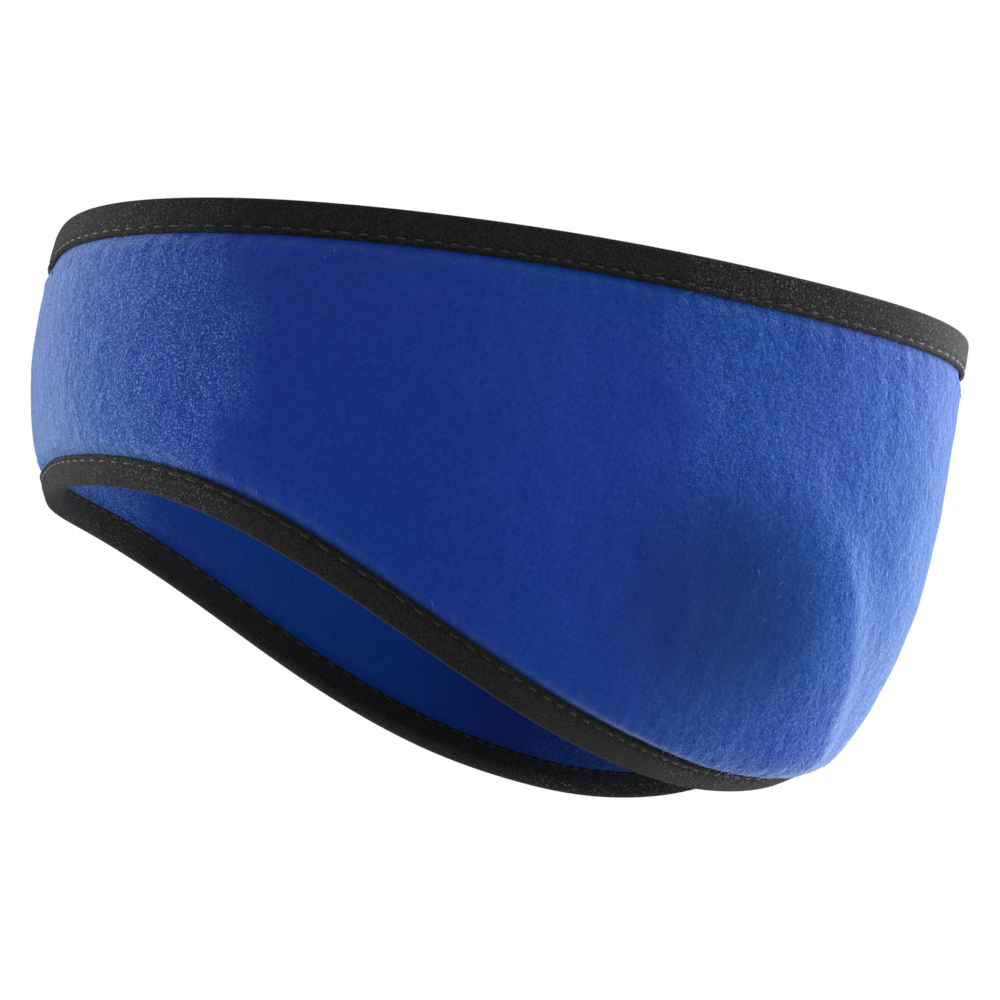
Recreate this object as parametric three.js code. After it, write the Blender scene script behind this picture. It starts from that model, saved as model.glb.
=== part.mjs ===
// A fleece ear warmer: one loop of cloth, narrow over the forehead and deep over the ears,
// with a stretch binding folded over its top edge and another over its bottom edge.
// Units are millimetres, +Z is up, the forehead faces -Y and the wearer's left ear is at +X.
// The origin is the middle of the head's girth, inside the loop.

import * as THREE from 'three';

// The loop's top edge seen from above, measured from the middle of the girth
const FOREHEAD_REACH = 99.6;
const NAPE_REACH = 95.4;
const EAR_REACH = 75.4;
const LOOP_SQUARENESS = 2.65;   // exponent of the outline: 2 would be an ellipse

// The cloth
const EAR_CUT = 111.5;          // deepest cut of the band, over the ear, along the cloth
const BELLY = 6;                // how far the widest section swells between its two edges
const EDGE_WAVE = 1;            // how far the top edge rises and dips
const FLEECE_THICK = 3;
const PINCHED_THICK = 1.4;      // fleece squeezed inside a binding
const SHOULDER = 2.8;           // cloth length over which the fleece swells to full thickness
const CURL_POWER = 3.5;         // how late the curl of the bottom edge sets in
const TUCK_LENGTH = 14;         // cloth length over which the bottom edge is tucked under

// The bindings
const BINDING_WIDTH = 8;        // of the top one, and of the bottom one where its share is 1
const BINDING_THICK = 1;
const FOLD_DEPTH = 1.5;         // how far the round of the fold runs down the cloth
const LAYER_GAP = 0.3;

// How the band sits on a head
const TOP_ABOVE_GIRTH = 45;
const WORN_TILT = THREE.MathUtils.degToRad(6.8);   // the nape hangs lower than the forehead

// Fineness of the solids
const STATIONS = 90;            // sections round the loop
const BODY_ROWS = 5;            // steps between the two shoulders
const FOLD_STEPS = 4;           // flats round the fold of a binding
const SLOPE_STEPS = 24;         // steps when a section's slope is added up

const FLEECE_BLUE = 0x1f3f9e;
const BINDING_BLACK = 0x1c1c1e;

// Sections from the forehead (0 degrees) to the nape (180), the same on both sides.
// cut, belly and wave are shares of EAR_CUT, BELLY and EDGE_WAVE. lean is the slope of the
// cloth at its top edge, curl what the slope gains by the bottom edge and tuck what the last
// TUCK_LENGTH adds to that, in degrees inwards. bound is the bottom binding's width as a share
// of BINDING_WIDTH: it was sewn on narrower over the forehead.
const SECTIONS = [
  { angle: 0, cut: 0.514, belly: 0.62, wave: -0.2, lean: 3, curl: 12, tuck: 0, bound: 0.79 },
  { angle: 20, cut: 0.522, belly: 0.67, wave: -0.2, lean: 1, curl: 13, tuck: 0, bound: 0.8 },
  { angle: 34, cut: 0.543, belly: 0.8, wave: 0.1, lean: -3, curl: 17.5, tuck: 0, bound: 0.85 },
  { angle: 45, cut: 0.592, belly: 0.9, wave: 0.5, lean: -6, curl: 22, tuck: 1, bound: 0.96 },
  { angle: 70, cut: 0.775, belly: 0.95, wave: 1.1, lean: -8, curl: 31, tuck: 5, bound: 1.05 },
  { angle: 90, cut: 0.9, belly: 0.87, wave: 1.1, lean: -6, curl: 42, tuck: 10, bound: 1.03 },
  { angle: 110, cut: 0.97, belly: 0.75, wave: 0.3, lean: -2.5, curl: 51, tuck: 16, bound: 1 },
  { angle: 130, cut: 1.0, belly: 0.5, wave: -0.7, lean: 1, curl: 56, tuck: 17, bound: 1 },
  { angle: 155, cut: 0.935, belly: 0.25, wave: -0.9, lean: 3.5, curl: 53, tuck: 10, bound: 1 },
  { angle: 180, cut: 0.825, belly: 0.15, wave: -0.6, lean: 5, curl: 50, tuck: 6, bound: 1 },
];

// A smooth curve through one column of the table, level at the forehead and at the nape.
function smoothColumn(name) {
  const at = SECTIONS.map((row) => row.angle);
  const value = SECTIONS.map((row) => row[name]);
  const last = at.length - 1;
  const rise = at.slice(1).map((x, i) => (value[i + 1] - value[i]) / (x - at[i]));
  const slope = new Array(at.length).fill(0);
  const carry = [0];
  for (let i = 1; i < last; i++) {
    const before = at[i] - at[i - 1];
    const after = at[i + 1] - at[i];
    const load = 3 * (after * rise[i - 1] + before * rise[i]);
    const pivot = 2 * (before + after) - after * carry[i - 1];
    carry[i] = before / pivot;
    slope[i] = (load - after * slope[i - 1]) / pivot;
  }
  for (let i = last - 1; i > 0; i--) slope[i] -= carry[i] * slope[i + 1];
  return (degrees) => {
    const x = THREE.MathUtils.clamp(degrees, at[0], at[last]);
    const i = Math.min(at.findLastIndex((start) => start <= x), last - 1);
    const step = at[i + 1] - at[i];
    const t = (x - at[i]) / step;
    const fromStart = (1 + 2 * t) * (1 - t) ** 2 * value[i] + t * (1 - t) ** 2 * step * slope[i];
    const fromEnd = t * t * (3 - 2 * t) * value[i + 1] - t * t * (1 - t) * step * slope[i + 1];
    return fromStart + fromEnd;
  };
}

const cutShare = smoothColumn('cut');
const bellyShare = smoothColumn('belly');
const waveShare = smoothColumn('wave');
const leanDegrees = smoothColumn('lean');
const curlDegrees = smoothColumn('curl');
const tuckDegrees = smoothColumn('tuck');
const boundShare = smoothColumn('bound');

// Everything that one station round the loop needs; angle runs from the forehead over +X.
function sectionAt(station) {
  const angle = (2 * Math.PI * station) / STATIONS;
  const fromForehead = Math.abs(THREE.MathUtils.radToDeg(angle) - (station > STATIONS / 2 ? 360 : 0));
  const lengthways = Math.cos(angle) > 0 ? FOREHEAD_REACH : NAPE_REACH;
  const reach =
    (Math.abs(Math.cos(angle) / lengthways) ** LOOP_SQUARENESS +
      Math.abs(Math.sin(angle) / EAR_REACH) ** LOOP_SQUARENESS) ** (-1 / LOOP_SQUARENESS);
  return {
    angle,
    reach,
    cut: EAR_CUT * cutShare(fromForehead),
    belly: BELLY * bellyShare(fromForehead),
    wave: EDGE_WAVE * waveShare(fromForehead),
    lean: THREE.MathUtils.degToRad(leanDegrees(fromForehead)),
    curl: THREE.MathUtils.degToRad(curlDegrees(fromForehead)),
    tuck: THREE.MathUtils.degToRad(tuckDegrees(fromForehead)),
    bound: BINDING_WIDTH * boundShare(fromForehead),
  };
}

// A point `down` the cloth from its top edge and `out` from the cloth's middle.
function clothPoint(section, down, out) {
  const share = down / section.cut;
  const slopeAt = (part) => {
    const tucked = Math.max(0, 1 - ((1 - part) * section.cut) / TUCK_LENGTH);
    return section.lean + section.curl * part ** CURL_POWER + section.tuck * tucked;
  };
  let inwards = 0;
  let fall = 0;
  for (let k = 0; k < SLOPE_STEPS; k++) {
    const slope = slopeAt((share * (k + 0.5)) / SLOPE_STEPS);
    inwards += (Math.sin(slope) * down) / SLOPE_STEPS;
    fall += (Math.cos(slope) * down) / SLOPE_STEPS;
  }
  const swell = section.belly * Math.sin(Math.PI * share);
  const here = slopeAt(share);
  const radius = section.reach + swell - inwards + out * Math.cos(here);
  const height = section.wave - fall - out * Math.sin(here);
  return [radius * Math.sin(section.angle), -radius * Math.cos(section.angle), height];
}

// A closed ring: the same profile of [down, out] points, set on each station's section.
// A profile runs down the outside and back up the inside.
function ringOf(profileFor) {
  const positions = [];
  let count = 0;
  for (let station = 0; station < STATIONS; station++) {
    const section = sectionAt(station);
    const profile = profileFor(section);
    count = profile.length;
    for (const [down, out] of profile) positions.push(...clothPoint(section, down, out));
  }
  const corners = [];
  for (let station = 0; station < STATIONS; station++) {
    const next = (station + 1) % STATIONS;
    for (let i = 0; i < count; i++) {
      const below = (i + 1) % count;
      const a = station * count + i;
      const b = next * count + i;
      const c = next * count + below;
      const d = station * count + below;
      if (station < STATIONS / 2) corners.push(a, d, c, a, c, b);
      else corners.push(a, d, b, d, c, b);
    }
  }
  const geometry = new THREE.BufferGeometry();
  geometry.setAttribute('position', new THREE.Float32BufferAttribute(positions, 3));
  geometry.setIndex(corners);
  geometry.computeVertexNormals();
  return geometry;
}

// The fleece runs from inside one binding to inside the other.
const FLEECE_EDGE = BINDING_THICK + LAYER_GAP;

function fleeceProfile(section) {
  const pinched = PINCHED_THICK / 2;
  const full = FLEECE_THICK / 2;
  // The fleece inside a binding of this width and just below it
  const edgeRows = (width) => {
    const start = width + LAYER_GAP;
    return [
      [FLEECE_EDGE, pinched],
      [width / 2, pinched],
      [start, pinched],
      [start + SHOULDER / 2, (pinched + full) / 2 + LAYER_GAP / 2],
      [start + SHOULDER, full],
    ];
  };
  const upper = edgeRows(BINDING_WIDTH);
  const lower = edgeRows(section.bound).map(([down, out]) => [section.cut - down, out]).reverse();
  const firstFull = upper[upper.length - 1][0];
  const fullLength = lower[0][0] - firstFull;
  const body = [];
  for (let i = 1; i < BODY_ROWS; i++) body.push([firstFull + (fullLength * i) / BODY_ROWS, full]);
  const outside = [...upper, ...body, ...lower];
  const inside = outside.map(([down, out]) => [down, -out]).reverse();
  return [...outside, ...inside];
}

// A binding folded over an edge: an outer leg, the round of the fold and an inner leg.
const BINDING_INNER = PINCHED_THICK / 2 + LAYER_GAP;
const BINDING_OUTER = BINDING_INNER + BINDING_THICK;

function foldedProfile(width) {
  const fold = [];
  for (let i = 0; i <= FOLD_STEPS; i++) {
    const turn = (Math.PI * i) / FOLD_STEPS;
    fold.push([FOLD_DEPTH * (1 - Math.sin(turn)), -BINDING_OUTER * Math.cos(turn)]);
  }
  const half = width / 2;
  return [
    [width, -BINDING_OUTER],
    [half, -BINDING_OUTER],
    ...fold,
    [half, BINDING_OUTER],
    [width, BINDING_OUTER],
    [width, BINDING_INNER],
    [half, BINDING_INNER],
    [BINDING_THICK, BINDING_INNER],
    [BINDING_THICK, -BINDING_INNER],
    [half, -BINDING_INNER],
    [width, -BINDING_INNER],
  ];
}

function topBindingProfile() {
  return foldedProfile(BINDING_WIDTH);
}

function bottomBindingProfile(section) {
  return foldedProfile(section.bound).map(([down, out]) => [section.cut - down, out]).reverse();
}

function clothMesh(name, profileFor, colour) {
  const material = new THREE.MeshStandardMaterial({ color: colour, roughness: 0.95, metalness: 0 });
  const mesh = new THREE.Mesh(ringOf(profileFor), material);
  mesh.name = name;
  return mesh;
}

const band = new THREE.Group();
band.add(clothMesh('fleece_band', fleeceProfile, FLEECE_BLUE));
band.add(clothMesh('top_binding', topBindingProfile, BINDING_BLACK));
band.add(clothMesh('bottom_binding', bottomBindingProfile, BINDING_BLACK));
band.position.z = TOP_ABOVE_GIRTH;

const worn = new THREE.Group();
worn.rotation.x = -WORN_TILT;
worn.add(band);

const earWarmer = new THREE.Group();
earWarmer.add(worn);

export default earWarmer;
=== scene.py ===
# %% [markdown]
# This lesson dresses a fleece ear warmer: one loop of blue polar fleece, narrow over the
# forehead and deep over the ears, with a black stretch binding folded over both edges.
# The construction is already settled as plain solids at their real size. We load those as a
# fixed frame and never move them. Everything made here is measured from them, so the fine
# cloth and the plain solids stay one object.

# %% Load the frame
import math

import bpy
import numpy as np
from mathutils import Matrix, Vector, noise


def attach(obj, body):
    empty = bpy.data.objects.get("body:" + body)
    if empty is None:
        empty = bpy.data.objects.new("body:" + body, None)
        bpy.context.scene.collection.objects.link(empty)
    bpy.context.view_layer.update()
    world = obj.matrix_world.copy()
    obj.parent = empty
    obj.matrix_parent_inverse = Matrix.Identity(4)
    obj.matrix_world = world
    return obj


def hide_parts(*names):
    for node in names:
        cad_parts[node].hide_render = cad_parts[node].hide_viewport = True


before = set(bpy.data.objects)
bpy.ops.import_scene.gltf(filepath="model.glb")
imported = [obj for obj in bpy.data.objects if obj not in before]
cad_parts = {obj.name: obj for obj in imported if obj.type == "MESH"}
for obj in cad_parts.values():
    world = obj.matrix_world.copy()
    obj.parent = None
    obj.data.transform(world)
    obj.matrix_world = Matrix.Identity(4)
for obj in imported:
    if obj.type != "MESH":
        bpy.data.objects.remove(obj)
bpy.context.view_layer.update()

MM = 0.001
print("solids:", sorted(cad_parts))

# %% [markdown]
# The camera comes first, because every later choice is judged through it. The photograph was
# taken with a long lens from a little below the band, on the wearer's left and slightly to
# the front. A long lens far away keeps the near and the far side almost the same size.
# The place is worked out from two angles and a distance, which are easier to reason about
# than three coordinates.

# %% Set the camera
LOOK_AT = Vector((-4.8, 1.9, -0.3)) * MM
CAMERA_TURN = math.radians(78.63)
CAMERA_RISE = math.radians(-5.15)
CAMERA_DISTANCE = 865 * MM
LENS = 141.5

back = Vector((
    math.sin(CAMERA_TURN) * math.cos(CAMERA_RISE),
    -math.cos(CAMERA_TURN) * math.cos(CAMERA_RISE),
    math.sin(CAMERA_RISE),
))
camera_data = bpy.data.cameras.new("camera")
camera_data.lens = LENS
camera_data.sensor_width = 36
camera = bpy.data.objects.new("camera", camera_data)
camera.location = LOOK_AT + back * CAMERA_DISTANCE
camera.rotation_mode = "QUATERNION"
camera.rotation_quaternion = (-back).to_track_quat("-Z", "Y")
bpy.context.scene.collection.objects.link(camera)
bpy.context.scene.camera = camera
print("camera in mm:", [round(c / MM) for c in camera.location])

# %% [markdown]
# A band like this is cut flat and closed into a loop, so every point on it has two plain
# addresses: how far round the loop, and how far down the cloth from the top edge. We read
# the solid's sections in those terms. Each section is a ring of corners joined by edges, so
# walking from corner to corner along the edges gives the section in order, whatever order
# the file keeps its corners in. The band is worn with the nape hanging lower, so we turn it
# level first.

# %% Read the sections of a solid
WORN_TILT = math.radians(6.8)
TOP_ABOVE_GIRTH = 45 * MM
STATIONS = 90


def levelled(points):
    """Points of the worn band, turned level, with the top edge at height zero."""
    x, y, z = np.asarray(points, float).T
    flat_y = y * math.cos(WORN_TILT) - z * math.sin(WORN_TILT)
    flat_z = y * math.sin(WORN_TILT) + z * math.cos(WORN_TILT)
    return np.stack([x, flat_y, flat_z - TOP_ABOVE_GIRTH], axis=1)


def worn(points):
    """The way back: level points, tilted as the band is worn."""
    x, y, z = np.moveaxis(np.asarray(points, float), -1, 0)
    z = z + TOP_ABOVE_GIRTH
    worn_y = y * math.cos(WORN_TILT) + z * math.sin(WORN_TILT)
    worn_z = -y * math.sin(WORN_TILT) + z * math.cos(WORN_TILT)
    return np.stack([x, worn_y, worn_z], axis=-1)


def corners_of(node):
    """The corners of a solid as (radius, height), with their stations and each vertex's corner."""
    places, number = np.unique(
        np.round(np.array([v.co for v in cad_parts[node].data.vertices]), 7), axis=0, return_inverse=True
    )
    level = levelled(places)
    turn = np.degrees(np.arctan2(level[:, 0], -level[:, 1]))
    station = np.round(turn / (360 / STATIONS)).astype(int) % STATIONS
    return np.stack([np.hypot(level[:, 0], level[:, 1]), level[:, 2]], axis=1), station, number.ravel()


def read_sections(node):
    """For each station, the section's corners as (radius, height), outside first, top down."""
    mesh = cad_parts[node].data
    corners, station, number = corners_of(node)
    beside = [set() for _ in corners]
    for edge in mesh.edges:
        a, b = (number[v] for v in edge.vertices)
        if a != b and station[a] == station[b]:
            beside[a].add(b)
            beside[b].add(a)
    sections = []
    for s in range(STATIONS):
        here = np.flatnonzero(station == s)
        top = here[np.argsort(-corners[here, 1])[:2]]
        corner = top[np.argmax(corners[top, 0])]
        walked = [corner]
        while len(walked) < len(here):
            free = [b for b in beside[corner] if b not in walked]
            corner = min(free, key=lambda b: corners[b, 1]) if len(walked) == 1 else free[0]
            walked.append(corner)
        sections.append(corners[walked])
    return np.array(sections)


fleece_sections = read_sections("fleece_band")
print("fleece sections, corners, (radius, height):", fleece_sections.shape)

# %% [markdown]
# The outside and the inside of a section have as many corners each, so the middle of the
# cloth lies half way between the two, and the line from inside to outside says which way
# the cloth faces. A natural cubic spline down each section, and a Fourier series round the
# loop, then give the same cloth at any fineness with no flats. A Fourier series suits a
# closed loop, because it joins up with itself by nature.

# %% Turn the sections into smooth cloth
TUCKED = 1.3 * MM   # the fleece stops this far short of the fold of a binding

rows = fleece_sections.shape[1] // 2
outer_face = fleece_sections[:, :rows]
inner_face = fleece_sections[:, :rows - 1:-1]
middle = (outer_face + inner_face) / 2
steps_down = np.linalg.norm(np.diff(middle, axis=1), axis=2)
knots = TUCKED + np.concatenate([np.zeros((STATIONS, 1)), np.cumsum(steps_down, axis=1)], axis=1)
cuts = knots[:, -1] + TUCKED


def spline_bends(at, value):
    """Second derivatives of a natural cubic spline, straight at both ends."""
    gap = np.diff(at)
    matrix = np.eye(len(at))
    right = np.zeros_like(value)
    for i in range(1, len(at) - 1):
        matrix[i, i - 1:i + 2] = gap[i - 1], 2 * (gap[i - 1] + gap[i]), gap[i]
        right[i] = 6 * ((value[i + 1] - value[i]) / gap[i] - (value[i] - value[i - 1]) / gap[i - 1])
    return np.linalg.solve(matrix, right)


bends = [spline_bends(at, value) for at, value in zip(knots, middle)]


def down_the_cloth(down):
    """Middle and facing of the cloth at distances down[row, station]; straight past its ends."""
    place = np.zeros(down.shape + (2,))
    facing = np.zeros(down.shape + (2,))
    for s in range(STATIONS):
        at, value, bend = knots[s], middle[s], bends[s]
        inside = np.clip(down[:, s], at[0], at[-1])
        i = np.clip(np.searchsorted(at, inside) - 1, 0, len(at) - 2)
        gap = (at[i + 1] - at[i])[:, None]
        b = (inside - at[i])[:, None] / gap
        a = 1 - b
        cube = ((a ** 3 - a) * bend[i] + (b ** 3 - b) * bend[i + 1]) * gap ** 2 / 6
        slope = (value[i + 1] - value[i]) / gap
        slope += (-(3 * a * a - 1) * bend[i] + (3 * b * b - 1) * bend[i + 1]) * gap / 6
        place[:, s] = a * value[i] + b * value[i + 1] + cube
        place[:, s] += slope * (down[:, s] - inside)[:, None]
        slope /= np.linalg.norm(slope, axis=1, keepdims=True)
        facing[:, s] = np.stack([-slope[:, 1], slope[:, 0]], axis=1)
    return place, facing


def round_the_loop(values, count):
    """The same smooth loop with count stations instead of STATIONS, along axis 1."""
    waves = np.fft.rfft(values, axis=1)
    return np.fft.irfft(waves, n=count, axis=1) * count / STATIONS


def reach_of(node, edge, inwards):
    """How far a binding reaches over the cloth at each station, from the edge at down = edge."""
    start = down_the_cloth(edge[None])[0][0]
    way = down_the_cloth((edge + inwards * 4 * MM)[None])[0][0] - start
    way /= np.linalg.norm(way, axis=1, keepdims=True)
    corners, station, _ = corners_of(node)
    reach = ((corners - start[station]) * way[station]).sum(axis=1)
    return np.array([np.sort(reach[station == s])[-4:].mean() for s in range(STATIONS)])


top_reach = reach_of("top_binding", 0 * cuts, 1)
bottom_reach = reach_of("bottom_binding", cuts, -1)
print("cut in mm, from", round(cuts.min() / MM, 1), "to", round(cuts.max() / MM, 1))
for name, reach in (("top", top_reach), ("bottom", bottom_reach)):
    print(name, "binding reaches", round(reach.min() / MM, 1), "to", round(reach.max() / MM, 1), "mm over the cloth")

# %% [markdown]
# Every soft piece here is a closed ring: the same profile set up at each station round the
# loop. A profile is written in cloth terms, as distances down from an edge and out from the
# middle of the cloth. One helper turns such profiles into a mesh, so the fleece and both
# bindings follow exactly the same curve.

# %% Make a ring of cloth from profiles
def loop_points(down, out, stations):
    """Points of the worn band for down[row, STATIONS] and out[row, stations]."""
    place, facing = down_the_cloth(down)
    place = round_the_loop(place, stations)
    facing = round_the_loop(facing, stations)
    facing /= np.linalg.norm(facing, axis=2, keepdims=True)
    turn = 2 * np.pi * np.arange(stations) / stations
    spot = place + out[..., None] * facing
    radius = spot[..., 0]
    level = np.stack([radius * np.sin(turn), -radius * np.cos(turn), spot[..., 1]], axis=-1)
    return worn(level)


def ring_faces(count, stations):
    """Four-sided faces of a closed profile of count rows carried round the loop."""
    row, station = np.meshgrid(np.arange(count), np.arange(stations), indexing="ij")
    below = (row + 1) % count
    beyond = (station + 1) % stations
    corners = [row * stations + station, below * stations + station,
               below * stations + beyond, row * stations + beyond]
    return np.stack(corners, axis=-1).reshape(-1, 4)


def facing_out(points, faces):
    """The faces, turned round if they enclose a negative volume."""
    a, b, c = (points[faces[:, k]] for k in range(3))
    d = points[faces[:, -1]]
    volume = (a * np.cross(b, c)).sum() + (a * np.cross(c, d)).sum()
    return faces if volume > 0 else faces[:, ::-1]


def mesh_from(name, points, faces, material, smooth=True):
    """A closed mesh from an array of points and an array of faces with equal corners."""
    faces = facing_out(points, faces)
    mesh = bpy.data.meshes.new(name)
    sides = faces.shape[1]
    mesh.vertices.add(len(points))
    mesh.vertices.foreach_set("co", np.asarray(points, np.float32).ravel())
    mesh.loops.add(faces.size)
    mesh.loops.foreach_set("vertex_index", faces.astype(np.int32).ravel())
    mesh.polygons.add(len(faces))
    mesh.polygons.foreach_set("loop_start", np.arange(0, faces.size, sides, dtype=np.int32))
    mesh.polygons.foreach_set("use_smooth", np.full(len(faces), smooth))
    mesh.update(calc_edges=True)
    mesh.materials.append(material)
    thing = bpy.data.objects.new(name, mesh)
    bpy.context.scene.collection.objects.link(thing)
    print(name, "has", len(faces) * (sides - 2), "triangles")
    return thing


# %% [markdown]
# Polar fleece is a knit whose surface is brushed into a short dense pile. Light that grazes
# the pile catches the fibre tips, so the cloth turns pale and silvery at its turning edges
# and stays deep in the middle. Blender's sheen layer does exactly that. The dyed colour looks
# a little bluer in one place and more violet in another, so the colour drifts slowly between
# two blues, and a finer noise paints light and shade on clumps of fibre, as if they faced the
# light or turned away. Painted shade darkens the hollow over each ear, and painted highlights
# and glints lighten the pile at the forehead and behind the ear.

# %% Helpers for materials
def new_material(name):
    """A node material with its Principled shader, ready to be wired."""
    material = bpy.data.materials.new(name)
    material.use_nodes = True
    tree = material.node_tree
    return material, tree, tree.nodes["Principled BSDF"]


def own_place(tree):
    """Coordinates fixed to the piece, in metres, so that a pattern has a real size."""
    return tree.nodes.new("ShaderNodeTexCoord").outputs["Object"]


def noise_of(tree, place, grain, detail=2.0, roughness=0.5):
    """Soft noise whose lumps are about grain across."""
    texture = tree.nodes.new("ShaderNodeTexNoise")
    texture.inputs["Scale"].default_value = 1 / grain
    texture.inputs["Detail"].default_value = detail
    texture.inputs["Roughness"].default_value = roughness
    tree.links.new(place, texture.inputs["Vector"])
    return texture.outputs["Fac"]


def ramp_of(tree, value, stops):
    """value sent through a colour ramp with stops of (position, colour)."""
    ramp = tree.nodes.new("ShaderNodeValToRGB")
    elements = ramp.color_ramp.elements
    while len(elements) < len(stops):
        elements.new(0.5)
    for element, (position, colour) in zip(elements, stops):
        element.position = position
        element.color = (*colour, 1)
    tree.links.new(value, ramp.inputs["Fac"])
    return ramp.outputs["Color"]


def mix_of(tree, first, second, factor, kind="MIX"):
    """Two colours mixed; factor is a number or an output, second a colour or an output."""
    mix = tree.nodes.new("ShaderNodeMix")
    mix.data_type = "RGBA"
    mix.blend_type = kind
    if isinstance(factor, float):
        mix.inputs["Factor"].default_value = factor
    else:
        tree.links.new(factor, mix.inputs["Factor"])
    tree.links.new(first, mix.inputs["A"])
    if isinstance(second, tuple):
        mix.inputs["B"].default_value = (*second, 1)
    else:
        tree.links.new(second, mix.inputs["B"])
    return mix.outputs["Result"]


def scaled(tree, value, low, high, to_low=0.0, to_high=1.0):
    """value moved from the span low-high to the span to_low-to_high, softly and kept inside it."""
    span = tree.nodes.new("ShaderNodeMapRange")
    span.interpolation_type = "SMOOTHSTEP"
    span.inputs["From Min"].default_value = low
    span.inputs["From Max"].default_value = high
    span.inputs["To Min"].default_value = to_low
    span.inputs["To Max"].default_value = to_high
    tree.links.new(value, span.inputs["Value"])
    return span.outputs["Result"]


def maths(tree, kind, first, second):
    """One arithmetic node; each operand is a number or an output."""
    node = tree.nodes.new("ShaderNodeMath")
    node.operation = kind
    for socket, operand in zip(node.inputs, (first, second)):
        if isinstance(operand, (int, float)):
            socket.default_value = operand
        else:
            tree.links.new(operand, socket)
    return node.outputs["Value"]


def bump_of(tree, height, depth, strength=1.0, under=None):
    """A bump of the given real depth, on top of another bump if there is one."""
    bump = tree.nodes.new("ShaderNodeBump")
    if isinstance(strength, float):
        bump.inputs["Strength"].default_value = strength
    else:
        tree.links.new(strength, bump.inputs["Strength"])
    bump.inputs["Distance"].default_value = depth
    tree.links.new(height, bump.inputs["Height"])
    if under is not None:
        tree.links.new(under, bump.inputs["Normal"])
    return bump.outputs["Normal"]


# %% Fleece material
DEEP_BLUE = (0.0015, 0.0290, 0.190)
VIOLET_BLUE = (0.0060, 0.0245, 0.200)
SHEEN_TINT = (0.45, 0.57, 0.57)
# Painted highlight: curled fibre ends lighter than the cloth.
WISP_HIGHLIGHT_BLUE = (0.050, 0.140, 0.50)
# Painted glint: bright specks on fibre tips, strongest at the forehead.
PAINTED_GLINT_BLUE = (0.085, 0.210, 0.56)
DRIFT_SIZE = 60 * MM
MOTTLE_SIZE = 3.6 * MM
CLUMP_SIZE = 0.9 * MM
WISP_SIZE = 1.1 * MM
FIBRE_SIZE = 0.35 * MM
SPECKLE_SIZE = 0.6 * MM
SPARK_SIZE = 0.36 * MM
SPARK_FADE = (-50 * MM, 10 * MM)     # the sparks are strongest at the forehead
# Between the forehead and the ear the pile is left smooth and fewer highlights are painted.
SMOOTH_MIDDLE = -24 * MM     # along the loop's length, where the pile still lies flat
SMOOTH_REACH = (34 * MM, 56 * MM)
# Painted shade: darkens the colour in the hollow over each ear.
HOLLOW_PAINTED_SHADE = (0.34, 0.62, 0.60)
HOLLOW_REACH = (6 * MM, 38 * MM)
HOLLOW_PLACE = (113, 70)     # degrees from the forehead, millimetres below the top edge
hollow_level = np.full((1, STATIONS), HOLLOW_PLACE[1] * MM)
hollow = loop_points(hollow_level, np.zeros((1, 360)), 360)[0, HOLLOW_PLACE[0]]
print("middle of the smooth hollow over the ear, in mm:", (hollow / MM).round(1))


def near_hollow(tree, place):
    """1 in the middle of the hollow over either ear, fading to 0 round it; it places the painted shade there."""
    split = tree.nodes.new("ShaderNodeSeparateXYZ")
    tree.links.new(place, split.inputs["Vector"])
    mirrored = tree.nodes.new("ShaderNodeCombineXYZ")
    tree.links.new(maths(tree, "ABSOLUTE", split.outputs["X"], 0), mirrored.inputs["X"])
    tree.links.new(split.outputs["Y"], mirrored.inputs["Y"])
    tree.links.new(split.outputs["Z"], mirrored.inputs["Z"])
    apart = tree.nodes.new("ShaderNodeVectorMath")
    apart.operation = "DISTANCE"
    tree.links.new(mirrored.outputs["Vector"], apart.inputs[0])
    apart.inputs[1].default_value = hollow
    return scaled(tree, apart.outputs["Value"], *HOLLOW_REACH, 1.0, 0.0)


def rub_and_highlight_mask(tree, place):
    """1 at the forehead and behind the ear, where the pile is roughened and highlights are painted, down to 0.3
    between, and lower over the painted shade of the hollow.
    """
    split = tree.nodes.new("ShaderNodeSeparateXYZ")
    tree.links.new(place, split.inputs["Vector"])
    away = maths(tree, "ABSOLUTE", maths(tree, "SUBTRACT", split.outputs["Y"], SMOOTH_MIDDLE), 0)
    patchy = maths(tree, "MULTIPLY", noise_of(tree, place, 16 * MM, detail=1), 24 * MM)
    rub_and_highlight = scaled(tree, maths(tree, "ADD", away, maths(tree, "SUBTRACT", patchy, 12 * MM)), *SMOOTH_REACH, 0.3)
    kept = maths(tree, "MULTIPLY", near_hollow(tree, place), 0.85)
    return maths(tree, "MULTIPLY", rub_and_highlight, maths(tree, "SUBTRACT", 1, kept))


def wisps_of(tree, place, grain):
    """Thin wandering ridges, like curled fibre ends that lie over each other."""
    texture = tree.nodes.new("ShaderNodeTexNoise")
    texture.noise_type = "RIDGED_MULTIFRACTAL"
    texture.normalize = True
    texture.inputs["Scale"].default_value = 1 / grain
    texture.inputs["Detail"].default_value = 2
    texture.inputs["Roughness"].default_value = 0.6
    texture.inputs["Distortion"].default_value = 0.8
    tree.links.new(place, texture.inputs["Vector"])
    return texture.outputs["Fac"]


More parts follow.
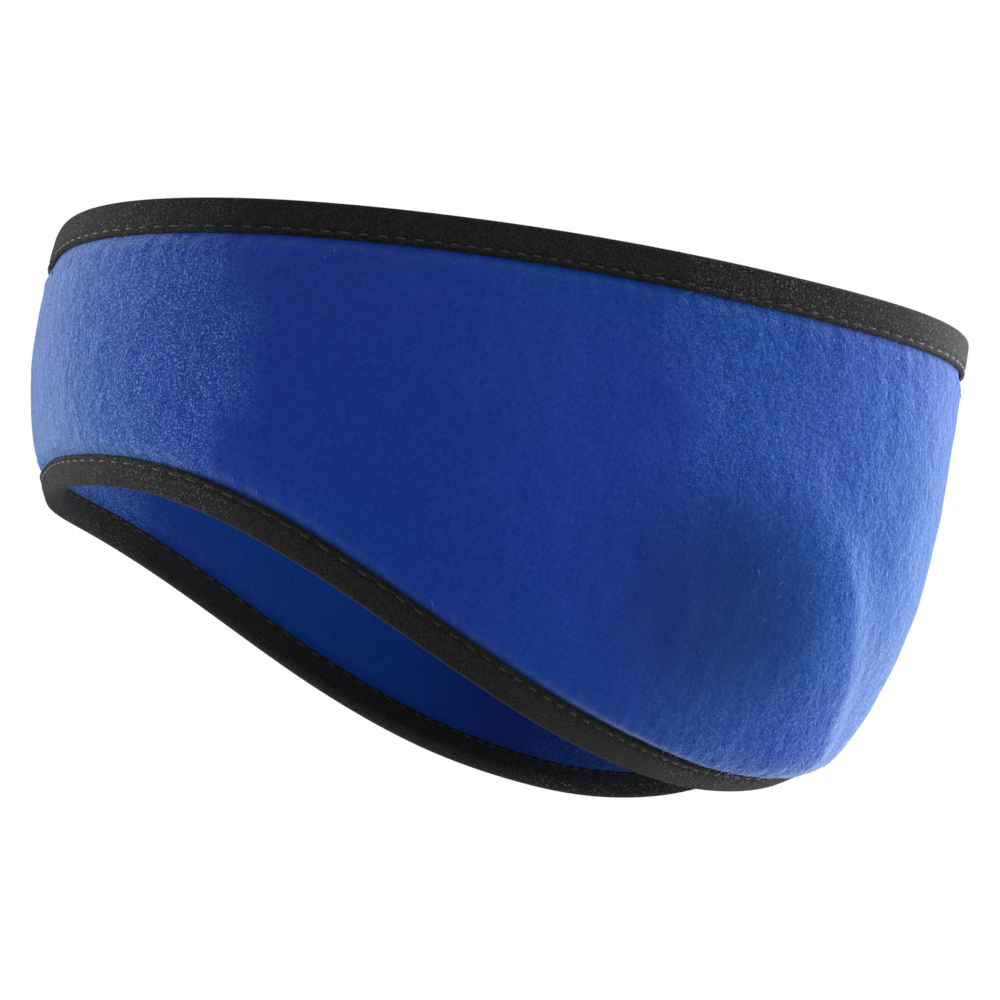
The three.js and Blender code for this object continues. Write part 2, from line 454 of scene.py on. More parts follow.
def fleece_material():
    """Brushed pile: slow drift of colour between two blues, painted shade over the ears, painted light and shade on
    clumps of fibre, painted highlights on fibre ends, painted glints and fine fibre grain.
    """
    material, tree, cloth = new_material("brushed_fleece")
    place = own_place(tree)
    drift = noise_of(tree, place, DRIFT_SIZE, detail=1)
    dye_and_shade = ramp_of(tree, drift, [(0.4, DEEP_BLUE), (0.6, VIOLET_BLUE)])
    # Painted shade in the hollow over each ear.
    dye_and_shade = mix_of(tree, dye_and_shade, HOLLOW_PAINTED_SHADE, near_hollow(tree, place), "MULTIPLY")
    rub_and_highlight = rub_and_highlight_mask(tree, place)
    clumps = noise_of(tree, place, CLUMP_SIZE, detail=3, roughness=0.8)
    # Painted light and shade on clumps of fibre, stronger where the pile is roughened and lit.
    calm = (0.9, 0.9, 0.93), (1.1, 1.08, 1.05)
    rough = (0.74, 0.76, 0.82), (1.9, 1.7, 1.4)
    shades = [ramp_of(tree, clumps, [(0.38, low), (0.62, high)]) for low, high in (calm, rough)]
    shade = mix_of(tree, shades[0], shades[1], rub_and_highlight)
    # Painted highlights on curled fibre ends, where the pile is roughened.
    wisps = scaled(tree, wisps_of(tree, place, WISP_SIZE), 0.5, 0.85)
    wisp_highlight = maths(tree, "MULTIPLY", wisps, maths(tree, "MULTIPLY", rub_and_highlight, 0.45))
    colour = mix_of(tree, mix_of(tree, dye_and_shade, shade, 1.0, "MULTIPLY"), WISP_HIGHLIGHT_BLUE, wisp_highlight)
    # Painted glints on fibre tips, strongest at the forehead.
    painted_glints = scaled(tree, noise_of(tree, place, SPARK_SIZE, detail=1), 0.5, 0.72)
    behind = tree.nodes.new("ShaderNodeSeparateXYZ")
    tree.links.new(place, behind.inputs["Vector"])
    strength = scaled(tree, behind.outputs["Y"], *SPARK_FADE, 0.9, 0.4)
    painted_glints = maths(tree, "MULTIPLY", painted_glints, maths(tree, "MULTIPLY", scaled(tree, rub_and_highlight, 0.35, 1.0), strength))
    colour = mix_of(tree, colour, PAINTED_GLINT_BLUE, painted_glints)
    tree.links.new(colour, cloth.inputs["Base Color"])
    mottle = noise_of(tree, place, MOTTLE_SIZE, detail=2, roughness=0.6)
    fibres = noise_of(tree, place, FIBRE_SIZE, detail=2, roughness=0.7)
    pile = bump_of(tree, mottle, 0.6 * MM, rub_and_highlight)
    pile = bump_of(tree, clumps, 0.13 * MM, rub_and_highlight, under=pile)
    tree.links.new(bump_of(tree, fibres, 0.15 * MM, rub_and_highlight, under=pile), cloth.inputs["Normal"])
    speckle = noise_of(tree, place, SPECKLE_SIZE, detail=2, roughness=0.8)
    bloom = maths(tree, "ADD", maths(tree, "MULTIPLY", maths(tree, "SUBTRACT", speckle, 0.5), 2.8), 0.82)
    tree.links.new(maths(tree, "MINIMUM", maths(tree, "MAXIMUM", bloom, 0.5), 1), cloth.inputs["Sheen Weight"])
    cloth.inputs["Roughness"].default_value = 1.0
    cloth.inputs["Specular IOR Level"].default_value = 0.03
    cloth.inputs["Sheen Roughness"].default_value = 0.42
    cloth.inputs["Sheen Tint"].default_value = (*SHEEN_TINT, 1)
    return material


brushed_fleece = fleece_material()
print("made the material", brushed_fleece.name)

# %% [markdown]
# The ears need room, so the band swells over each ear and turns in sharply behind it. On the
# real band the cloth stays almost flat up to a soft ridge behind the ear, then falls away
# at once and runs straight on towards the nape. The ridge is drawn as a line in cloth terms,
# degrees round the loop and millimetres down, and the relief depends only on the distance to
# that line: a long gentle rise in front of it and a short steep fall behind. Softer lumps
# from wearing and packing come from noise, and small puckers near the bindings come from
# the stitches pulling the cloth in.

# %% Relief of the fleece
EAR_RIDGE = [   # degrees from the forehead, millimetres below the top edge
    (110, 31), (118, 39), (125, 47), (129.5, 55), (132.5, 63), (135.3, 72), (137.8, 82), (139.5, 91), (140, 100),
]
EAR_RADIUS = 84     # of the loop behind the ear, in millimetres
RIDGE_HEIGHT = 2.7
RISE_LENGTH = 19.0
FALL_LENGTH = 6.5
DIP_DEPTH = 0.3
DIP_LENGTH = 30.0
STITCH_PITCH = 3.8


def smooth_step(value, low, high):
    share = np.clip((value - low) / (high - low), 0, 1)
    return share * share * (3 - 2 * share)


def ear_relief(degrees, down):
    """Height of the ridge behind the ear and of the dip beyond it, in mm, the same on both sides."""
    turn = np.abs((degrees + 180) % 360 - 180)
    line = np.array(EAR_RIDGE, float)
    fine = np.linspace(0, len(line) - 1, 60)
    steps = np.arange(len(line))
    line = np.stack([np.interp(fine, steps, line[:, 0]), np.interp(fine, steps, line[:, 1])], axis=1)
    scale = np.array([math.radians(1) * EAR_RADIUS, 1])
    way = (np.stack([turn, down], axis=-1)[..., None, :] - line) * scale
    distance = np.linalg.norm(way, axis=-1)
    nearest = distance.argmin(axis=-1)
    heading = np.gradient(line * scale, axis=0)[nearest]
    near_way = np.take_along_axis(way, nearest[..., None, None], axis=-2)[..., 0, :]
    side = near_way[..., 0] * heading[..., 1] - near_way[..., 1] * heading[..., 0]
    off = distance.min(axis=-1) * np.sign(side)
    grown = smooth_step(fine[nearest] / fine[-1], 0.0, 0.6)
    before = np.exp(-(off / RISE_LENGTH) ** 2)
    beyond = (1 + DIP_DEPTH / RIDGE_HEIGHT) * np.exp(-(off / FALL_LENGTH) ** 2)
    beyond -= DIP_DEPTH / RIDGE_HEIGHT * np.exp(-(off / DIP_LENGTH) ** 2)
    return grown * RIDGE_HEIGHT * np.where(off < 0, before, beyond)


def edge_roll(degrees, past):
    """How far the fleece puffs out over the bottom binding, in mm, most of all behind the ear."""
    turn = np.abs((degrees + 180) % 360 - 180)
    height = np.interp(turn, (0, 85, 103, 120, 145, 165, 180), (0.1, 0.25, 1.3, 2.2, 2.2, 1.0, 0.5))
    return height * smooth_step(past, -0.1, 1.8) * (1 - smooth_step(past, 2.5, 19))


def lumps(points, size, seed):
    """Noise between about -1 and 1 at each point."""
    shift = Vector((seed, 2 * seed, 3 * seed))
    flat = points.reshape(-1, 3) / size
    found = [noise.noise(Vector(p) + shift) for p in flat]
    return np.array(found).reshape(points.shape[:-1])


def puckers(degrees, past, seed):
    """Small pulls beside the stitching, in mm, fading away from the binding."""
    rng = np.random.default_rng(seed)
    girth_in_pitches = 130
    wave = np.zeros_like(degrees)
    for share, height in ((1, 0.5), (0.5, 0.35), (0.31, 0.3)):
        wave += height * np.cos(np.radians(degrees) * round(girth_in_pitches * share) + rng.uniform(0, 6))
    return 0.22 * wave * np.exp(-np.maximum(past - 1, 0) / 3.0) * smooth_step(past, -0.5, 2)


print("ear ridge runs over", EAR_RIDGE[-1][1] - EAR_RIDGE[0][1], "mm of cloth")

# %% [markdown]
# The fleece itself. Inside the bindings it is squeezed thin, and it swells to its full
# thickness just past them. Outside and inside are two faces of one closed ring. Both follow
# the relief, the inside a little less, as it does in thick soft cloth.

# %% Fleece band
FLEECE_STATIONS = 660
EDGE_ROWS = 12
BODY_ROWS = 40
PINCHED_HALF = 0.7
FULL_HALF = 1.5
SWELL_LENGTH = 3.1

edge_shares = np.linspace(0, 1, EDGE_ROWS)[:, None]
top_rows = TUCKED + edge_shares * (top_reach + SWELL_LENGTH * MM - TUCKED)
bottom_rows = cuts - TUCKED - edge_shares * (bottom_reach + SWELL_LENGTH * MM - TUCKED)
body_shares = np.linspace(0, 1, BODY_ROWS + 2)[1:-1, None]
body_rows = top_rows[-1] + body_shares * (bottom_rows[-1] - top_rows[-1])
face_rows = np.concatenate([top_rows, body_rows, bottom_rows[::-1]])
past_binding = np.minimum(face_rows - top_reach, cuts - face_rows - bottom_reach)
fine_rows = round_the_loop(face_rows, FLEECE_STATIONS) / MM
past = round_the_loop(past_binding, FLEECE_STATIONS) / MM
degrees = np.ones((len(fine_rows), 1)) * np.arange(FLEECE_STATIONS) * 360 / FLEECE_STATIONS
thick = PINCHED_HALF + (FULL_HALF - PINCHED_HALF) * smooth_step(past, 0.2, SWELL_LENGTH)
plain = loop_points(face_rows, thick * MM, FLEECE_STATIONS)
relief = smooth_step(past, 0, 9) * (ear_relief(degrees, fine_rows) + 0.32 * lumps(plain, 13 * MM, seed=3))
relief += smooth_step(past, 0, 4) * 0.16 * lumps(plain, 4.5 * MM, seed=11)
relief += puckers(degrees, past, seed=5)
from_bottom = round_the_loop(cuts - face_rows - bottom_reach, FLEECE_STATIONS) / MM
relief += edge_roll(degrees, from_bottom)
outside = loop_points(face_rows, (thick + relief) * MM, FLEECE_STATIONS)
inside = loop_points(face_rows, (-thick + 0.8 * relief) * MM, FLEECE_STATIONS)
fleece_points = np.concatenate([outside, inside[::-1]])
fleece = mesh_from(
    "fleece", fleece_points.reshape(-1, 3), ring_faces(len(fleece_points), FLEECE_STATIONS), brushed_fleece
)
print("relief in mm, from", round(relief.min(), 2), "to", round(relief.max(), 2))

# %% [markdown]
# The binding is a strip of stretch knit, black and dull, with a grain so fine that it only
# breaks up the light. Fine noise sets both the grey flecks and the bump. The flecks are
# brightest at the forehead and the nape, where grey glints are painted on in the same places
# as the painted highlights of the fleece, and a little sheen greys it where it turns away.

# %% Binding material
BINDING_BLACK = (0.0026, 0.0026, 0.0029)
BINDING_WORN = (0.0150, 0.0148, 0.0146)
BINDING_PAINTED_GLINT = (0.10, 0.10, 0.10)


def binding_material():
    """Black stretch knit: fine grain, painted grey glints, a dull face and a faint grey bloom."""
    material, tree, cloth = new_material("stretch_knit")
    place = own_place(tree)
    fleck = noise_of(tree, place, 0.45 * MM, detail=2, roughness=0.8)
    colour = ramp_of(tree, fleck, [(0.44, BINDING_BLACK), (0.58, BINDING_WORN)])
    # Painted glints: grey specks at the forehead and the nape.
    bright = scaled(tree, noise_of(tree, place, 0.42 * MM, detail=1), 0.6, 0.72)
    rub_and_highlight = scaled(tree, rub_and_highlight_mask(tree, place), 0.4, 1.0)
    colour = mix_of(tree, colour, BINDING_PAINTED_GLINT, maths(tree, "MULTIPLY", bright, rub_and_highlight))
    tree.links.new(colour, cloth.inputs["Base Color"])
    knit = noise_of(tree, place, 0.5 * MM, detail=2, roughness=0.8)
    tree.links.new(bump_of(tree, knit, 0.5 * MM, 1.0), cloth.inputs["Normal"])
    cloth.inputs["Roughness"].default_value = 0.75
    cloth.inputs["Specular IOR Level"].default_value = 0.085
    cloth.inputs["Sheen Weight"].default_value = 0.032
    cloth.inputs["Sheen Roughness"].default_value = 0.35
    cloth.inputs["Sheen Tint"].default_value = (1, 1, 1, 1)
    return material


stretch_knit = binding_material()
print("made the material", stretch_knit.name)

# %% [markdown]
# A folded binding hides the raw edge of the fleece. The strip is wrapped over the edge and
# sewn through all its layers near its lower edge, so on both faces the stitches press a
# groove and the cloth below it stands out as a small lip. One profile in cloth terms has
# all of that, and serves both bindings, each as wide as its own solid.

# %% Bindings
BINDING_STATIONS = 660
BINDING_THICK = 1.0
BINDING_INNER = 1.0
BINDING_OUTER = 2.0
FOLD_DEPTH = 1.5
STITCH_LINE = 1.2     # from the raw edge of a leg
GROOVE = 0.42
GROOVE_WIDTH = 0.5
LIP = 0.6
LEG_ROWS = (0, 0.12, 0.28, 0.45, 0.65, 0.85, 1.05, 1.2, 1.4, 1.65, 1.95, 2.4, 3.0)


def leg_face(from_end):
    """How far out a leg's face stands at distances from its raw edge, in mm."""
    groove = GROOVE * np.exp(-((from_end - STITCH_LINE) / GROOVE_WIDTH) ** 2)
    round_off = (BINDING_OUTER - BINDING_INNER - 0.25) * smooth_step(LIP - from_end, 0, LIP) ** 2
    return BINDING_OUTER - groove - round_off


def binding_profile(width):
    """(down, out) round a binding of this width in mm: outer leg, fold, inner leg and lining."""
    rows = np.concatenate([LEG_ROWS, np.linspace(LEG_ROWS[-1], width - FOLD_DEPTH, 6)[1:]])
    outer = np.stack([width - rows, leg_face(rows)], axis=1)
    turn = np.linspace(0, np.pi, 12)[1:-1]
    fold = np.stack([FOLD_DEPTH * (1 - np.sin(turn)), BINDING_OUTER * np.cos(turn)], axis=1)
    lining = np.array([
        (width, -BINDING_INNER), (width / 2, -BINDING_INNER), (BINDING_THICK, -BINDING_INNER),
        (BINDING_THICK, BINDING_INNER), (width / 2, BINDING_INNER), (width, BINDING_INNER),
    ])
    return np.concatenate([outer, fold, (outer * [1, -1])[::-1], lining])


def binding(name, reach, at_bottom):
    """One binding as a closed ring, along the top edge or the bottom edge."""
    profile = np.stack([binding_profile(width) for width in reach / MM], axis=1)
    down = cuts / MM - profile[..., 0] if at_bottom else profile[..., 0]
    out = round_the_loop(profile[..., 1], BINDING_STATIONS)
    turn = np.ones((len(out), 1)) * np.arange(BINDING_STATIONS) * 360 / BINDING_STATIONS
    ripple = puckers(turn, 1 + 0 * turn, seed=7 if at_bottom else 9)
    pull = smooth_step(profile[:, :1, 0], 3, 6) * (np.abs(profile[:, :1, 1]) > BINDING_INNER + 0.1)
    points = loop_points(down * MM, (out + 0.35 * ripple * pull) * MM, BINDING_STATIONS)
    faces = ring_faces(len(points), BINDING_STATIONS)
    return mesh_from(name, points.reshape(-1, 3), faces, stretch_knit)


top_binding = binding("top_binding_fold", top_reach, at_bottom=False)
bottom_binding = binding("bottom_binding_fold", bottom_reach, at_bottom=True)

# %% [markdown]
# The seam that holds each binding is one thread on each face, over and under through the
# cloth. A thin tube that rises and dives once a stitch gives real stitches: where it dives it
# is inside the cloth and out of sight. The number of stitches is a whole number, so that the
# thread closes on itself. The top seam was sewn in grey thread and the bottom one in black.

# %% Thread material
GREY_THREAD = (0.026, 0.026, 0.027)
BLACK_THREAD = (0.006, 0.006, 0.0065)


def thread_material(name, shade):
    """Spun thread with a slight lustre."""
    material, tree, cloth = new_material(name)
    place = own_place(tree)
    twist = noise_of(tree, place, 0.4 * MM, detail=1)
    colour = ramp_of(tree, twist, [(0.3, tuple(0.5 * part for part in shade)), (0.75, shade)])
    tree.links.new(colour, cloth.inputs["Base Color"])
    tree.links.new(bump_of(tree, twist, 0.06 * MM), cloth.inputs["Normal"])
    cloth.inputs["Roughness"].default_value = 0.5
    cloth.inputs["Sheen Weight"].default_value = 0.3
    cloth.inputs["Sheen Roughness"].default_value = 0.4
    return material


seam_threads = {
    "top": thread_material("grey_thread", GREY_THREAD),
    "bottom": thread_material("black_thread", BLACK_THREAD),
}
print("made the materials", [thread.name for thread in seam_threads.values()])

# %% Stitched seams
THREAD_RADIUS = 0.15
STITCH_RISE = 0.28
STEPS_PER_STITCH = 8
THREAD_SIDES = 5


def tube_along(line, radius, sides, closed=True):
    """Points and faces of a tube along a line; an open one has four sides and flat ends."""
    ahead = np.roll(line, -1, axis=0) - np.roll(line, 1, axis=0)
    if not closed:
        ahead[0] = line[1] - line[0]
        ahead[-1] = line[-1] - line[-2]
    ahead /= np.linalg.norm(ahead, axis=1, keepdims=True)
    side = np.cross(ahead, [0.31, 0.17, 0.93])
    side /= np.linalg.norm(side, axis=1, keepdims=True)
    lift = np.cross(side, ahead)
    turn = 2 * np.pi * np.arange(sides) / sides
    ring = np.cos(turn)[:, None, None] * side + np.sin(turn)[:, None, None] * lift
    points = line + radius * ring
    faces = ring_faces(sides, len(line))
    if not closed:
        last = len(line) - 1
        faces = faces[(faces % len(line) != last).any(axis=1) & (np.ptp(faces % len(line), axis=1) == 1)]
        first_end = len(line) * np.arange(sides)
        faces = np.concatenate([faces, first_end[None], (first_end + last)[None, ::-1]])
    return points.reshape(-1, 3), faces


def seam(edge, face):
    """The thread on one face of a binding: face is 1 outside and -1 inside."""
    reach = top_reach if edge == "top" else bottom_reach
    line_down = reach - STITCH_LINE * MM
    down = (line_down if edge == "top" else cuts - line_down)[None]
    surface = BINDING_OUTER - GROOVE
    rough = loop_points(down, np.full((1, FLEECE_STATIONS), face * surface * MM), FLEECE_STATIONS)[0]
    length = np.linalg.norm(rough - np.roll(rough, 1, axis=0), axis=1).sum() / MM
    stitches = round(length / STITCH_PITCH)
    count = stitches * STEPS_PER_STITCH
    swing = np.cos(2 * np.pi * np.arange(count) / STEPS_PER_STITCH)
    out = face * (surface - 0.12 + STITCH_RISE * np.clip(swing, -0.8, 0.7))
    line = loop_points(down, out[None] * MM, count)[0]
    points, faces = tube_along(line, THREAD_RADIUS * MM, THREAD_SIDES)
    name = f"{edge}_seam_{'outer' if face > 0 else 'inner'}"
    print(name, "has", stitches, "stitches over", round(length), "mm")
    return mesh_from(name, points, faces, seam_threads[edge])


seams = {edge: [seam(edge, face) for face in (1, -1)] for edge in ("top", "bottom")}

# %% [markdown]
# Bump alone leaves a cloth with a hard edge against the backdrop. Real pile breaks that edge
# and overlaps the binding, so part of the pile is built as fibres. Each one is a closed
# spike, pointed at both ends and bent in the middle, lying almost flat. All are placed by a
# seeded random generator, so every run gives the same pile. They are joined into a few
# meshes, because one object with many fibres is far lighter than many objects.

# %% Fibre material
FIBRE_BLUE = (0.003, 0.028, 0.18)
FIBRE_PALE = (0.130, 0.270, 0.70)


def fibre_material():
    """Fibre tips catch more light than the cloth below them."""
    material, tree, cloth = new_material("pile_fibre")
    place = own_place(tree)
    patch = noise_of(tree, place, 0.8 * MM, detail=1)
    colour = ramp_of(tree, patch, [(0.43, FIBRE_BLUE), (0.6, FIBRE_PALE)])
    tree.links.new(colour, cloth.inputs["Base Color"])
    cloth.inputs["Roughness"].default_value = 0.9
    cloth.inputs["Specular IOR Level"].default_value = 0.1
    cloth.inputs["Sheen Weight"].default_value = 0.6
    cloth.inputs["Sheen Roughness"].default_value = 0.5
    cloth.inputs["Sheen Tint"].default_value = (0.4, 0.55, 1.0, 1)
    return material


pile_fibre = fibre_material()
print("made the material", pile_fibre.name)

# %% Places on the cloth
def cloth_places(face_points, outward, count, rng, weight=None):
    """Random places spread evenly over a face: point, way out, way down the cloth, way round the loop."""
    here = face_points[:-1]
    fall = face_points[1:] - here
    along = np.roll(here, -1, axis=1) - here
    area = np.linalg.norm(np.cross(fall, along), axis=2)
    area = area if weight is None else area * weight[:-1]
    chosen = rng.choice(area.size, count, p=(area / area.sum()).ravel())
    row, station = np.unravel_index(chosen, area.shape)
    u, v = rng.random((2, count, 1))
    point = here[row, station] + u * fall[row, station] + v * along[row, station]
    out = outward * np.cross(fall[row, station], along[row, station])
    ways = [out, fall[row, station], along[row, station]]
    return point, *[way / np.linalg.norm(way, axis=1, keepdims=True) for way in ways]


SPIKE_SIDES = 3


def spikes(name, root, bend, tip, width, material):
    """Closed spikes from root over bend to tip, in one mesh."""
    ahead = tip - root
    ahead /= np.linalg.norm(ahead, axis=1, keepdims=True)
    side = np.cross(ahead, [0.37, 0.61, 0.70])
    side /= np.linalg.norm(side, axis=1, keepdims=True)
    lift = np.cross(side, ahead)
    corners = [root]
    one = []
    for k in range(SPIKE_SIDES):
        turn = 2 * np.pi * k / SPIKE_SIDES
        corners.append(bend + width[:, None] * (math.cos(turn) * side + math.sin(turn) * lift))
        here, after = 1 + k, 1 + (k + 1) % SPIKE_SIDES
        one += [(0, after, here), (here, after, SPIKE_SIDES + 1)]
    corners.append(tip)
    points = np.stack(corners, axis=1)
    faces = np.array(one)[None] + (np.arange(len(root)) * (SPIKE_SIDES + 2))[:, None, None]
    return mesh_from(name, points.reshape(-1, 3), faces.reshape(-1, 3), material)


print("each fibre has", 2 * SPIKE_SIDES, "triangles")

# %% Pile of the fleece
def pile(name, face_points, outward, count, seed, length=(0.9, 2.2), stand=(0.05, 0.5), weight=None):
    """Short fibres lying on a face. stand is how much they rise for each millimetre of length."""
    rng = np.random.default_rng(seed)
    root, out, fall, along = cloth_places(face_points, outward, count, rng, weight)
    heading = rng.uniform(0, 2 * np.pi, (count, 1))
    first = np.cos(heading) * along + np.sin(heading) * fall + 0.35 * fall
    heading += rng.normal(0, 0.7, (count, 1))
    second = np.cos(heading) * along + np.sin(heading) * fall + 0.35 * fall
    long = MM * rng.uniform(*length, (count, 1))
    rise = rng.uniform(*stand, (count, 1))
    start = root - 0.03 * MM * out
    bend = start + 0.5 * long * (first + rise * out) + 0.09 * MM * out
    tip = bend + 0.5 * long * (second + rise * rng.uniform(-0.7, 1, (count, 1)) * out)
    return spikes(name, start, bend, tip, MM * rng.uniform(0.045, 0.095, count), pile_fibre)


FIBRES_PER_PIECE = 19000
SMOOTH_SHARE = 0.08
away = np.abs(plain[..., 1] - SMOOTH_MIDDLE) + 8 * MM * lumps(plain, 16 * MM, seed=17)
mirrored = np.stack([np.abs(plain[..., 0]), plain[..., 1], plain[..., 2]], axis=-1)
to_hollow = np.linalg.norm(mirrored - hollow, axis=-1)
thickness_of_pile = (past > 0.3) * (SMOOTH_SHARE + (1 - SMOOTH_SHARE) * smooth_step(away, *SMOOTH_REACH))
thickness_of_pile *= 1 - 0.75 * smooth_step(HOLLOW_REACH[1] - to_hollow, 0, HOLLOW_REACH[1] - HOLLOW_REACH[0])
half_loop = FLEECE_STATIONS // 2
piles = []
for side, cut_out in (("left", slice(0, half_loop + 1)), ("right", slice(half_loop, FLEECE_STATIONS))):
    for part in range(2):
        keep = thickness_of_pile[:, cut_out].copy()
        keep[:, -1] = 0
        piles.append(
            pile(f"pile_outside_{side}_{part + 1}", outside[:, cut_out], -1, FIBRES_PER_PIECE, 20 + len(piles),
                 weight=keep)
        )
piles.append(pile("pile_inside", inside, 1, FIBRES_PER_PIECE, 40, length=(0.7, 1.6), weight=past > 0.3))
print("fibres:", FIBRES_PER_PIECE * len(piles))

# %% Fibres over the edges of the bindings
EDGE_FIBRES = 6500


def edge_fibres(name, count, seed):
    """Fibres rooted just past each binding that reach over it, most of them behind the ear."""
    rng = np.random.default_rng(seed)
    turn = np.abs((degrees + 180) % 360 - 180)
    low = from_bottom < 8
    crowd = np.interp(turn, (0, 60, 100, 120, 150, 180), (0.15, 0.2, 0.6, 1.6, 1.6, 0.5))
    crowd = np.where(low, crowd, 0.3) * (past > 0.2) * (past < 1.7)
    fibres = []
    for to_edge, share in ((1, 0.8), (-1, 0.2)):
        number = round(count * share)
        weight = crowd * (low if to_edge > 0 else ~low)
        root, out, fall, along = cloth_places(outside, -1, number, rng, weight)
        long = MM * rng.uniform(1.0, 2.4, (number, 1))
        lean = rng.normal(0, 0.6, (number, 1))
        first = to_edge * fall + lean * along + rng.uniform(0.2, 0.6, (number, 1)) * out
        lean += rng.normal(0, 0.6, (number, 1))
        second = to_edge * fall + lean * along - rng.uniform(0, 0.3, (number, 1)) * out
        bend = root + 0.5 * long * first
        fibres.append((root, bend, bend + 0.5 * long * second))
    root, bend, tip = (np.concatenate(part) for part in zip(*fibres))
    return spikes(name, root, bend, tip, MM * rng.uniform(0.04, 0.07, len(root)), pile_fibre)


piles.append(edge_fibres("pile_over_bindings", EDGE_FIBRES, 60))
print("fibres over the bindings:", EDGE_FIBRES)

# %% [markdown]
# A few long fibres have worked loose from the pile. The largest one lies across the cloth in
# front of the ear. It is a thin bent tube, drawn through points in cloth terms.

# %% Loose fibre
LOOSE_FIBRE = [   # degrees from the forehead, millimetres below the top edge
    (77.0, 73.2), (77.9, 75.6), (79.5, 77.8), (81.5, 78.6), (83.2, 78.8),
    (84.7, 80.3), (86.0, 81.8), (87.4, 83.3), (89.5, 83.7), (90.9, 83.8),
]
LOOSE_RADIUS = 0.07


def on_the_cloth(turn, down, lift):
    """A point lift mm off the outside of the fleece, turn degrees round and down mm below the top edge."""
    station = round(turn / 360 * FLEECE_STATIONS) % FLEECE_STATIONS
    column = outside[:, station]
    place = np.array([np.interp(down, fine_rows[:, station], column[:, axis]) for axis in range(3)])
    row = int(np.searchsorted(fine_rows[:, station], down))
    ahead = outside[row, (station + 1) % FLEECE_STATIONS] - outside[row, station]
    way = np.cross(ahead, column[row + 1] - column[row])
    return place + lift * MM * way / np.linalg.norm(way)


steps = np.linspace(0, len(LOOSE_FIBRE) - 1, 40)
turns = np.interp(steps, np.arange(len(LOOSE_FIBRE)), [place[0] for place in LOOSE_FIBRE])
downs = np.interp(steps, np.arange(len(LOOSE_FIBRE)), [place[1] for place in LOOSE_FIBRE])
loose_line = np.array([on_the_cloth(turn, down, 0.12) for turn, down in zip(turns, downs)])
for _ in range(4):
    loose_line[1:-1] = (loose_line[:-2] + loose_line[1:-1] + loose_line[2:]) / 3
loose_points, loose_faces = tube_along(loose_line, LOOSE_RADIUS * MM, 4, closed=False)
piles.append(mesh_from("loose_fibre", loose_points, loose_faces, pile_fibre))
print("loose fibre is", round(float(np.linalg.norm(np.diff(loose_line, axis=0), axis=1).sum()) / MM), "mm long")

# %% [markdown]
# The studio is plain: a pale floor, a white surround, softboxes in front of the forehead and
# behind the nape, and weaker ones beside and in front of the band. The side softboxes graze the cloth where it turns away from the camera, which
# is what makes fleece look soft. The surround shows pure white to the camera, but lights the
# band less, so that the softboxes still shape it.

# %% Light, floor and backdrop
SKY_LIGHT = 0.48
GROUND_LIGHT = 0.07


def studio_world():
    world = bpy.data.worlds.new("white_surround")
    world.use_nodes = True
    tree = world.node_tree
    background = tree.nodes["Background"]
    background.inputs["Color"].default_value = (1, 1, 1, 1)
    seen = tree.nodes.new("ShaderNodeLightPath").outputs["Is Camera Ray"]
    heading = tree.nodes.new("ShaderNodeTexCoord").outputs["Generated"]
    split = tree.nodes.new("ShaderNodeSeparateXYZ")
    tree.links.new(heading, split.inputs["Vector"])
    light = tree.nodes.new("ShaderNodeMapRange")
    light.inputs["From Min"].default_value = -0.35
    light.inputs["From Max"].default_value = 0.15
    light.inputs["To Min"].default_value = GROUND_LIGHT
    light.inputs["To Max"].default_value = SKY_LIGHT
    tree.links.new(split.outputs["Z"], light.inputs["Value"])
    level = tree.nodes.new("ShaderNodeMix")
    level.inputs["B"].default_value = 1.0
    tree.links.new(seen, level.inputs["Factor"])
    tree.links.new(light.outputs["Result"], level.inputs["A"])
    tree.links.new(level.outputs["Result"], background.inputs["Strength"])
    bpy.context.scene.world = world
    return world


def softbox(name, place, size, power):
    """A square area light at place, in metres, aimed at the middle of the band."""
    light = bpy.data.lights.new(name, "AREA")
    light.shape = "SQUARE"
    light.size = size
    light.energy = power
    box = bpy.data.objects.new(name, light)
    box.location = place
    box.rotation_mode = "QUATERNION"
    box.rotation_quaternion = (-Vector(place)).to_track_quat("-Z", "Y")
    bpy.context.scene.collection.objects.link(box)
    return box


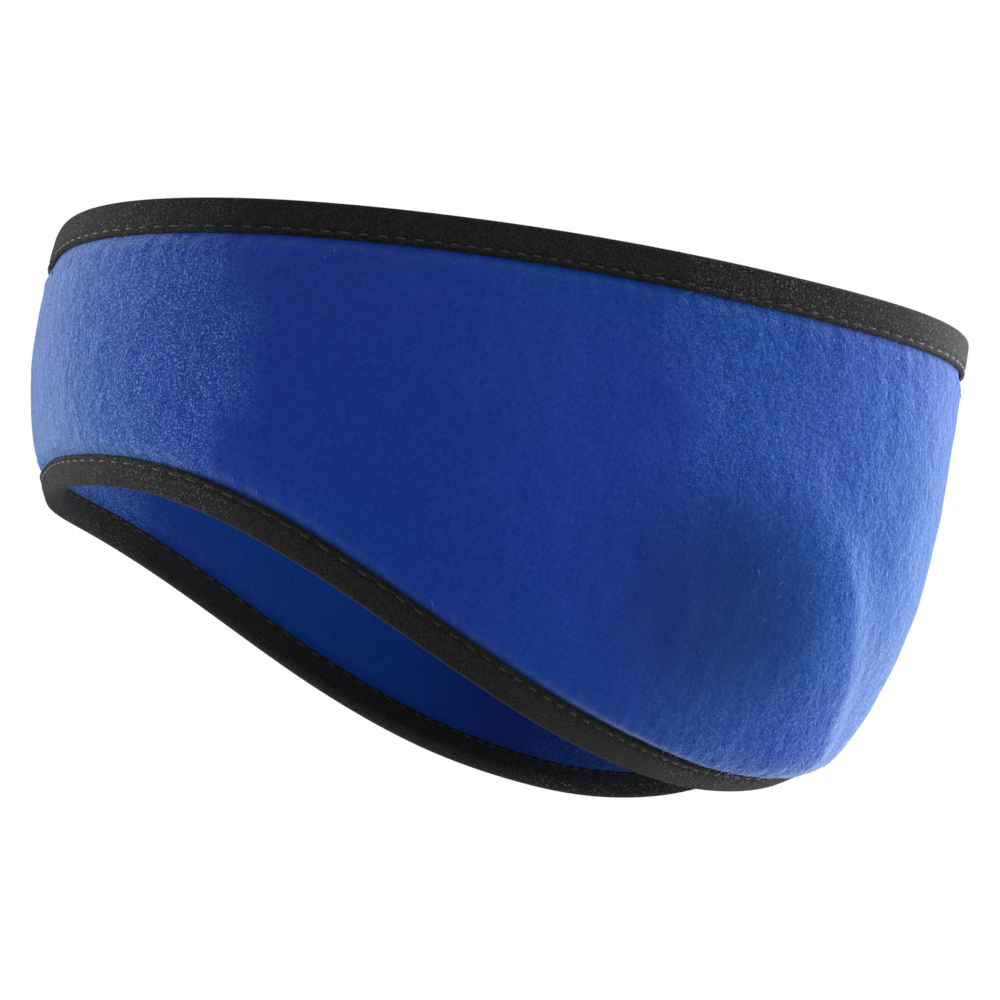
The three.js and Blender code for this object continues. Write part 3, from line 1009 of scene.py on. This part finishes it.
studio_world()
softbox("softbox_forehead", (-0.50, -1.05, 0.15), 0.8, 17.5)
softbox("softbox_nape", (-0.35, 1.05, 0.12), 1.0, 26)
softbox("softbox_side", (0.40, 1.0, 0.65), 0.6, 5)
softbox("softbox_low", (0.05, 1.1, -0.15), 0.5, 12)
softbox("softbox_front", (1.25, -0.35, 0.35), 0.8, 6.5)

FLOOR_DROP = 0.5
FLOOR_REACH = 1.3
floor_mesh = bpy.data.meshes.new("pale_floor")
corners = [(-1, -1), (1, -1), (1, 1), (-1, 1)]
floor_mesh.from_pydata([(x * FLOOR_REACH, y * FLOOR_REACH, -FLOOR_DROP) for x, y in corners], [], [(0, 1, 2, 3)])
floor_paint, floor_tree, floor_shader = new_material("pale_floor_paint")
floor_shader.inputs["Base Color"].default_value = (0.65, 0.65, 0.65, 1)
floor_shader.inputs["Roughness"].default_value = 0.9
floor_mesh.materials.append(floor_paint)
floor = bpy.data.objects.new("pale_floor", floor_mesh)
bpy.context.scene.collection.objects.link(floor)
bpy.context.scene.view_settings.view_transform = "Standard"
print("floor", round(FLOOR_DROP * 1000), "mm below the band")

# %% [markdown]
# Last, the fleece and the bindings stand in for the plain solids, which are hidden, and all
# the pieces ride on the one body of the part. The fleece and the bindings are sheets of cloth,
# so the length of the loop round its middle and along both edges is worked out too, from the
# loop that we measured.

# %% Join everything to the frame
def loop_length(down):
    """Length of the loop at distances down the cloth, in metres."""
    line = loop_points(down, np.zeros((1, FLEECE_STATIONS)), FLEECE_STATIONS)[0]
    return float(np.linalg.norm(line - np.roll(line, 1, axis=0), axis=1).sum())


girth = loop_length(cuts[None] / 2)
edge_lengths = {"top": loop_length(0 * cuts[None]), "bottom": loop_length(cuts[None])}

for piece, node, slot in (
    (fleece, "fleece_band", "fleece"),
    (top_binding, "top_binding", "stretch_binding"),
    (bottom_binding, "bottom_binding", "stretch_binding"),
):
    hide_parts(node)
    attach(piece, "root")
for piece in piles:
    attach(piece, "root")
for piece in seams["top"] + seams["bottom"]:
    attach(piece, "root")
